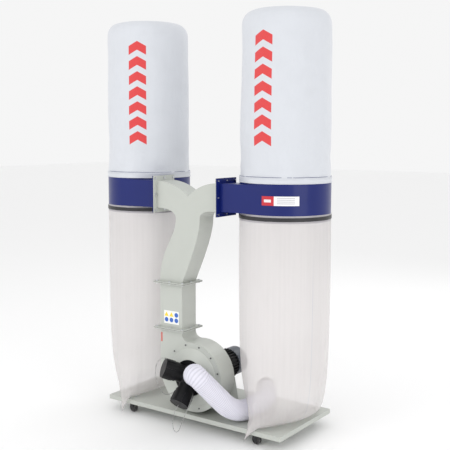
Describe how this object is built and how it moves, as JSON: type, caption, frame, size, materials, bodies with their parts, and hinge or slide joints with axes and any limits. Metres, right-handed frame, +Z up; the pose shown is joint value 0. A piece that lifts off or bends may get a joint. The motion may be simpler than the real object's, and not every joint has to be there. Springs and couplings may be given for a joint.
{
  "type": "dust collector",
  "caption": "Wheeled workshop dust collector: blower with side inlet ports, riser duct and splitter feeding drums with filter bags above and clear collection bags below.",
  "frame": {"origin": "on the floor under the casters, midway between the drums and midway between the front of the lower inlet cap and the back of the collection bags' seams", "axes": "+Z up, +X to the right along the tray as seen from the inlet side, -Y the front with the inlet ports"},
  "size_m": [1.485, 0.7779, 2.356],
  "materials": {
    "painted_grey": "satin",
    "painted_blue": "gloss",
    "black_steel": "satin",
    "zinc": "satin",
    "dark_screw": "satin",
    "black_plastic": "satin",
    "wire": "satin",
    "hose_plastic": "satin",
    "raw_steel": "satin",
    "motor_black": "satin",
    "fan_plastic": "matte",
    "cowl_grey": "satin",
    "switch_plastic": "satin",
    "green_plastic": "gloss",
    "red_plastic": "gloss",
    "gasket_rubber": "matte",
    "felt": "matte",
    "film": "satin",
    "label_white": "satin",
    "label_red": "satin",
    "wheel_rubber": "matte"
  },
  "bodies": {
    "machine": {"base_tray": "painted_grey", "caster_plates": "black_steel", "base_bolts": "zinc", "motor_stand": "painted_grey", "stand_bolts": "zinc", "blower_housing": "painted_grey", "inlet_cover": "painted_grey", "cover_screws": "dark_screw", "inlet_manifold": "black_plastic", "hose_clamp": "zinc", "hose": "hose_plastic", "hose_cuff": "black_plastic", "motor_frame": "motor_black", "motor_front_shield": "motor_black", "motor_rear_shield": "motor_black", "stator_core": "raw_steel", "bearing_front": "raw_steel", "bearing_rear": "raw_steel", "fan_cowl": "cowl_grey", "motor_bolts": "zinc", "terminal_box": "motor_black", "cable_gland": "black_plastic", "switch_box": "switch_plastic", "riser_duct": "painted_grey", "splitter": "painted_grey", "duct_gaskets": "gasket_rubber", "flange_bolts": "zinc", "drum_left": "painted_blue", "drum_right": "painted_blue", "belt_left": "black_steel", "belt_right": "black_steel", "filter_bag_left": "felt", "filter_bag_right": "felt", "collection_bag_left": "film", "collection_bag_right": "film", "nameplate": "label_white", "safety_label": "label_white", "neck_label": "label_red"},
    "rotor": {"impeller": "raw_steel", "impeller_bolt": "zinc", "motor_shaft": "raw_steel", "rotor_core": "raw_steel", "cooling_fan": "fan_plastic"},
    "cap_left": {"port_cap_left": "black_plastic", "cap_tether_left": "wire"},
    "cap_lower": {"port_cap_lower": "black_plastic", "cap_tether_lower": "wire"},
    "lever_left": {"latch_left": "zinc"},
    "lever_right": {"latch_right": "zinc"},
    "start_button": {"start_button": "green_plastic"},
    "stop_button": {"stop_button": "red_plastic"},
    "fork_fl": {"caster_fork_fl": "black_steel"},
    "wheel_fl": {"caster_wheel_fl": "wheel_rubber"},
    "fork_fr": {"caster_fork_fr": "black_steel"},
    "wheel_fr": {"caster_wheel_fr": "wheel_rubber"},
    "fork_rl": {"caster_fork_rl": "black_steel"},
    "wheel_rl": {"caster_wheel_rl": "wheel_rubber"},
    "fork_rr": {"caster_fork_rr": "black_steel"},
    "wheel_rr": {"caster_wheel_rr": "wheel_rubber"}
  },
  "joints": [
    {"name": "rotor_spin", "type": "hinge", "parent": "machine", "child": "rotor", "pos_m": [0.038, 0, 0.303], "axis": [0, 1, 0], "continuous": true},
    {"name": "swivel_fl", "type": "hinge", "parent": "machine", "child": "fork_fl", "pos_m": [-0.445, -0.1826, 0.07], "axis": [0, 0, 1], "continuous": true},
    {"name": "roll_fl", "type": "hinge", "parent": "fork_fl", "child": "wheel_fl", "pos_m": [-0.425, -0.1826, 0.026], "axis": [0, 1, 0], "continuous": true},
    {"name": "swivel_fr", "type": "hinge", "parent": "machine", "child": "fork_fr", "pos_m": [0.445, -0.1826, 0.07], "axis": [0, 0, 1], "continuous": true},
    {"name": "roll_fr", "type": "hinge", "parent": "fork_fr", "child": "wheel_fr", "pos_m": [0.465, -0.1826, 0.026], "axis": [0, 1, 0], "continuous": true},
    {"name": "swivel_rl", "type": "hinge", "parent": "machine", "child": "fork_rl", "pos_m": [-0.445, 0.2874, 0.07], "axis": [0, 0, 1], "continuous": true},
    {"name": "roll_rl", "type": "hinge", "parent": "fork_rl", "child": "wheel_rl", "pos_m": [-0.425, 0.2874, 0.026], "axis": [0, 1, 0], "continuous": true},
    {"name": "swivel_rr", "type": "hinge", "parent": "machine", "child": "fork_rr", "pos_m": [0.445, 0.2874, 0.07], "axis": [0, 0, 1], "continuous": true},
    {"name": "roll_rr", "type": "hinge", "parent": "fork_rr", "child": "wheel_rr", "pos_m": [0.465, 0.2874, 0.026], "axis": [0, 1, 0], "continuous": true},
    {"name": "cap_left_pull", "type": "slide", "parent": "machine", "child": "cap_left", "axis": [-0.6124, -0.7071, 0.3536], "range_m": [0, 0.08]},
    {"name": "cap_lower_pull", "type": "slide", "parent": "machine", "child": "cap_lower", "axis": [0, -0.7071, -0.7071], "range_m": [0, 0.08]},
    {"name": "latch_left_open", "type": "hinge", "parent": "machine", "child": "lever_left", "pos_m": [-0.4635, 0.3136, 1.232], "axis": [0, 0, 1], "range_deg": [-110, 0]},
    {"name": "latch_right_open", "type": "hinge", "parent": "machine", "child": "lever_right", "pos_m": [0.5115, 0.3136, 1.232], "axis": [0, 0, 1], "range_deg": [-110, 0]},
    {"name": "start_press", "type": "slide", "parent": "machine", "child": "start_button", "axis": [0, -1, 0], "range_m": [0, 0.003], "stiffness_N_per_m": 300},
    {"name": "stop_press", "type": "slide", "parent": "machine", "child": "stop_button", "axis": [0, -1, 0], "range_m": [0, 0.003], "stiffness_N_per_m": 300}
  ]
}
